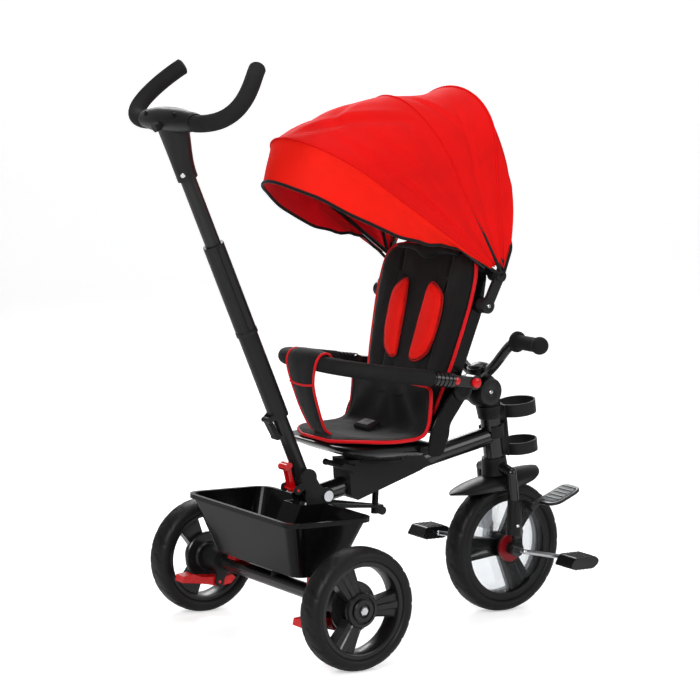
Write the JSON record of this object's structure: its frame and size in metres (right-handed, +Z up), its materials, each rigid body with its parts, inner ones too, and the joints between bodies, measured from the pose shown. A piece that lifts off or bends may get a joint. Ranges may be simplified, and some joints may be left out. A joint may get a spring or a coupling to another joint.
{
  "type": "tricycle",
  "caption": "Children's tricycle with a reversible swivel seat, safety ring, folding sun hood, rear basket, cup holder and a telescopic parent push handle",
  "frame": {"origin": "on the ground, at the middle of the tricycle's length and width", "axes": "+X forward, +Y to the rider's left, +Z up"},
  "size_m": [0.9362, 0.558, 1.0288],
  "materials": {
    "frame_paint": "semi-gloss black",
    "handle_paint": "satin dark grey",
    "bright_steel": "bright",
    "matte_black": "moulded",
    "grey_plastic": "moulded",
    "foot_grey": "moulded",
    "gloss_black": "glossy",
    "red_plastic": "glossy",
    "clear_plastic": "clear",
    "tyre_black": "moulded tread marks",
    "foam": "matte foam",
    "seat_fabric": "woven, red piping",
    "red_fabric": "woven, black binding"
  },
  "bodies": {
    "frame": {"main_frame": "frame_paint", "rear_axle": "bright_steel", "brake_housings": "matte_black", "handle_clamp": "matte_black", "clamp_bolts": "bright_steel", "handle_base_tube": "handle_paint", "handle_sleeve": "grey_plastic", "basket": "gloss_black", "basket_support": "matte_black", "basket_clips": "red_plastic", "seat_mount": "matte_black", "cup_holder": "matte_black"},
    "wheel_left": {"rim_left": "matte_black", "tyre_left": "tyre_black"},
    "wheel_right": {"rim_right": "matte_black", "tyre_right": "tyre_black"},
    "brake_left": {"brake_pedal_left": "red_plastic"},
    "brake_right": {"brake_pedal_right": "red_plastic"},
    "steering": {"fork": "frame_paint", "head_cups": "matte_black", "fork_sleeves": "matte_black", "fender": "matte_black", "stem_housing": "matte_black", "handlebar": "frame_paint", "handlebar_grips": "foam"},
    "front_wheel": {"front_rim": "matte_black", "front_tyre": "tyre_black", "wheel_discs": "clear_plastic"},
    "clutch": {"clutch_ring": "red_plastic"},
    "cranks": {"crank": "bright_steel"},
    "pedal_left": {"pedal_left": "matte_black"},
    "pedal_right": {"pedal_right": "matte_black"},
    "footrest_left": {"footrest_left": "foot_grey"},
    "footrest_right": {"footrest_right": "foot_grey"},
    "seat": {"swivel_plate": "matte_black", "seat_shell": "gloss_black", "seat_pad": "seat_fabric", "buckle": "matte_black"},
    "swivel_lever": {"swivel_lever": "matte_black"},
    "backrest": {"backrest_shell": "gloss_black", "back_pad": "seat_fabric", "headrest": "seat_fabric", "shoulder_pads": "red_fabric", "harness": "seat_fabric"},
    "ring": {"ring_bar": "frame_paint", "ring_foam": "foam", "crotch_cover": "seat_fabric"},
    "ring_button_left": {"ring_button_left": "red_plastic"},
    "ring_button_right": {"ring_button_right": "red_plastic"},
    "hood_arms": {"canopy_arms": "matte_black"},
    "hood_rear": {"bow_rear": "frame_paint", "canopy_fabric": "red_fabric"},
    "hood_mid": {"bow_mid": "frame_paint"},
    "hood_front": {"bow_front": "frame_paint"},
    "handle": {"handle_tube": "handle_paint", "handle_housing": "grey_plastic", "handle_grips": "foam"},
    "handle_button": {"handle_button": "matte_black"},
    "latch": {"latch_lever": "red_plastic"},
    "catch": {"sleeve_catch": "matte_black"}
  },
  "joints": [
    {"name": "wheel_left_spin", "type": "hinge", "parent": "frame", "child": "wheel_left", "pos_m": [-0.18191, 0.25, 0.108], "axis": [0, 1, 0], "continuous": true},
    {"name": "brake_left_press", "type": "hinge", "parent": "frame", "child": "brake_left", "pos_m": [-0.18991, 0.188, 0.07], "axis": [0, 1, 0], "range_deg": [-12, 0]},
    {"name": "wheel_right_spin", "type": "hinge", "parent": "frame", "child": "wheel_right", "pos_m": [-0.18191, -0.25, 0.108], "axis": [0, 1, 0], "continuous": true},
    {"name": "brake_right_press", "type": "hinge", "parent": "frame", "child": "brake_right", "pos_m": [-0.18991, -0.188, 0.07], "axis": [0, 1, 0], "range_deg": [-12, 0]},
    {"name": "steer", "type": "hinge", "parent": "frame", "child": "steering", "pos_m": [0.34109, 0, 0.127], "axis": [-0.1736, 0, 0.9848], "range_deg": [-30, 30]},
    {"name": "front_wheel_spin", "type": "hinge", "parent": "steering", "child": "front_wheel", "pos_m": [0.34109, 0, 0.127], "axis": [0, 1, 0], "continuous": true},
    {"name": "clutch_slide", "type": "slide", "parent": "front_wheel", "child": "clutch", "axis": [0, -1, 0], "range_m": [0, 0.006]},
    {"name": "crank_spin", "type": "hinge", "parent": "steering", "child": "cranks", "pos_m": [0.34109, 0, 0.127], "axis": [0, 1, 0], "continuous": true},
    {"name": "pedal_left_spin", "type": "hinge", "parent": "cranks", "child": "pedal_left", "pos_m": [0.26493, 0.134, 0.13838], "axis": [0, 1, 0], "continuous": true},
    {"name": "footrest_left_fold", "type": "hinge", "parent": "steering", "child": "footrest_left", "pos_m": [0.35419, 0.07, 0.215], "axis": [0, 1, 0], "range_deg": [-55, 0]},
    {"name": "pedal_right_spin", "type": "hinge", "parent": "cranks", "child": "pedal_right", "pos_m": [0.41724, -0.134, 0.11562], "axis": [0, 1, 0], "continuous": true},
    {"name": "footrest_right_fold", "type": "hinge", "parent": "steering", "child": "footrest_right", "pos_m": [0.35419, -0.07, 0.215], "axis": [0, 1, 0], "range_deg": [-55, 0]},
    {"name": "seat_swivel", "type": "hinge", "parent": "frame", "child": "seat", "pos_m": [0.02309, 0, 0.322], "axis": [0, 0, 1], "range_deg": [0, 180]},
    {"name": "swivel_lever_pull", "type": "hinge", "parent": "frame", "child": "swivel_lever", "pos_m": [-0.03791, 0, 0.306], "axis": [0, 1, 0], "range_deg": [0, 18], "stiffness_Nm_per_rad": 0.4, "springref_deg": -8.59},
    {"name": "backrest_recline", "type": "hinge", "parent": "seat", "child": "backrest", "pos_m": [0.07529, 0, 0.388], "axis": [0, 1, 0], "range_deg": [0, 12]},
    {"name": "ring_lift", "type": "hinge", "parent": "seat", "child": "ring", "pos_m": [0.13029, 0, 0.474], "axis": [0, 1, 0], "range_deg": [0, 50]},
    {"name": "ring_button_left_press", "type": "slide", "parent": "ring", "child": "ring_button_left", "axis": [0, -1, 0], "range_m": [0, 0.003], "stiffness_N_per_m": 600, "springref_m": -0.001},
    {"name": "ring_button_right_press", "type": "slide", "parent": "ring", "child": "ring_button_right", "axis": [0, 1, 0], "range_m": [0, 0.003], "stiffness_N_per_m": 600, "springref_m": -0.001},
    {"name": "hood_arm_tilt", "type": "hinge", "parent": "backrest", "child": "hood_arms", "pos_m": [0.14468, 0, 0.61391], "axis": [0, 1, 0], "range_deg": [-15, 12]},
    {"name": "hood_tilt", "type": "hinge", "parent": "hood_arms", "child": "hood_rear", "pos_m": [0.17018, 0, 0.668], "axis": [0, 1, 0], "range_deg": [-20, 10]},
    {"name": "hood_fold", "type": "hinge", "parent": "hood_rear", "child": "hood_front", "pos_m": [0.17018, 0, 0.668], "axis": [0, 1, 0], "range_deg": [0, 44], "deforming": ["canopy_fabric"]},
    {"name": "hood_mid_fold", "type": "hinge", "parent": "hood_rear", "child": "hood_mid", "pos_m": [0.17018, 0, 0.668], "axis": [0, 1, 0], "range_deg": [0, 22]},
    {"name": "handle_telescope", "type": "slide", "parent": "frame", "child": "handle", "axis": [-0.4368, 0, 0.8996], "range_m": [-0.11, 0.03]},
    {"name": "handle_button_press", "type": "slide", "parent": "handle", "child": "handle_button", "axis": [0.8996, 0, 0.4368], "range_m": [0, 0.003], "stiffness_N_per_m": 600, "springref_m": -0.001},
    {"name": "latch_open", "type": "hinge", "parent": "frame", "child": "latch", "pos_m": [-0.15625, 0, 0.27353], "axis": [0, 1, 0], "range_deg": [-55, 0]},
    {"name": "catch_press", "type": "hinge", "parent": "frame", "child": "catch", "pos_m": [-0.21384, 0, 0.4015], "axis": [0, 1, 0], "range_deg": [0, 8], "stiffness_Nm_per_rad": 0.5, "springref_deg": -8.59}
  ],
  "couplings": [
    {"joint": "crank_spin", "follows": "front_wheel_spin", "ratio": 1},
    {"joint": "hood_mid_fold", "follows": "hood_fold", "ratio": 0.5}
  ]
}
